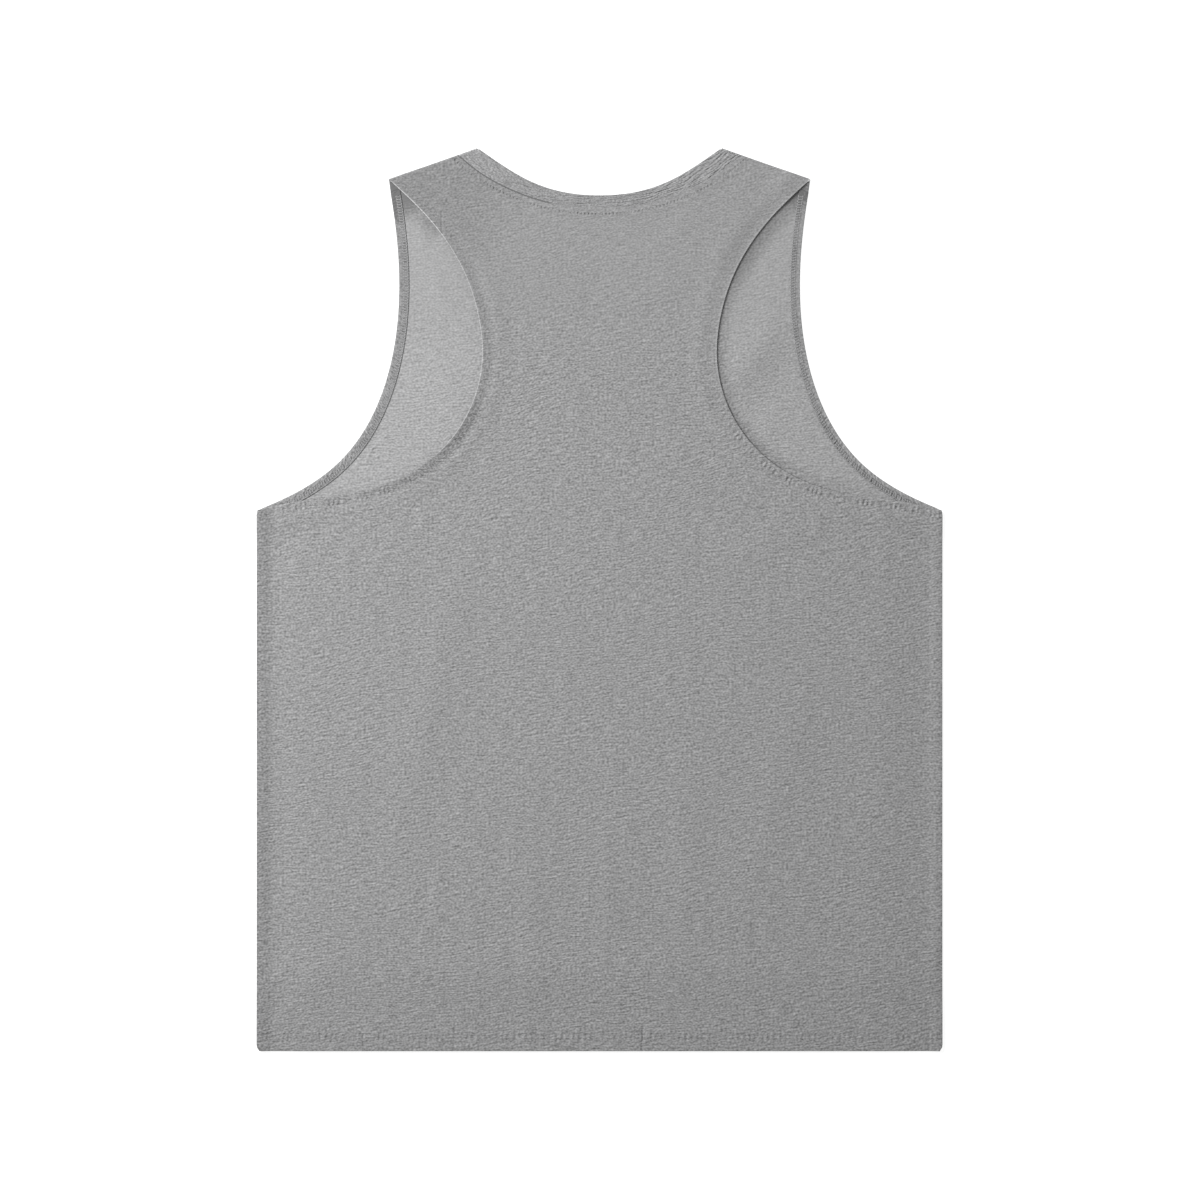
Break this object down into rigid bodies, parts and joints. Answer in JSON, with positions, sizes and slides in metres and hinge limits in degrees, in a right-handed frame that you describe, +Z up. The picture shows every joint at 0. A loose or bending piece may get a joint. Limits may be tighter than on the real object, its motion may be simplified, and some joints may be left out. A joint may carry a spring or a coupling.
{
  "type": "tank top",
  "caption": "Racerback tank top in heather jersey, laid flat with its back up: rib neckband, turned armhole and bottom hems, the inside of the front showing at the armholes.",
  "frame": {"origin": "on the ground under the middle of the garment, half way between the side seams and half way from the hem to the highest shoulder point", "axes": "+X across the body toward the side seam on the viewer's right, +Y from the hem to the neck, +Z up out of the back"},
  "size_m": [0.5588, 0.7352, 0.0054],
  "materials": {
    "jersey_face": "matte heather jersey, face side",
    "jersey_inside": "matte heather jersey, paler inner side",
    "rib": "matte heather rib"
  },
  "bodies": {
    "root": {"back": "jersey_face", "front": "jersey_inside", "neckband": "rib"}
  },
  "joints": []
}
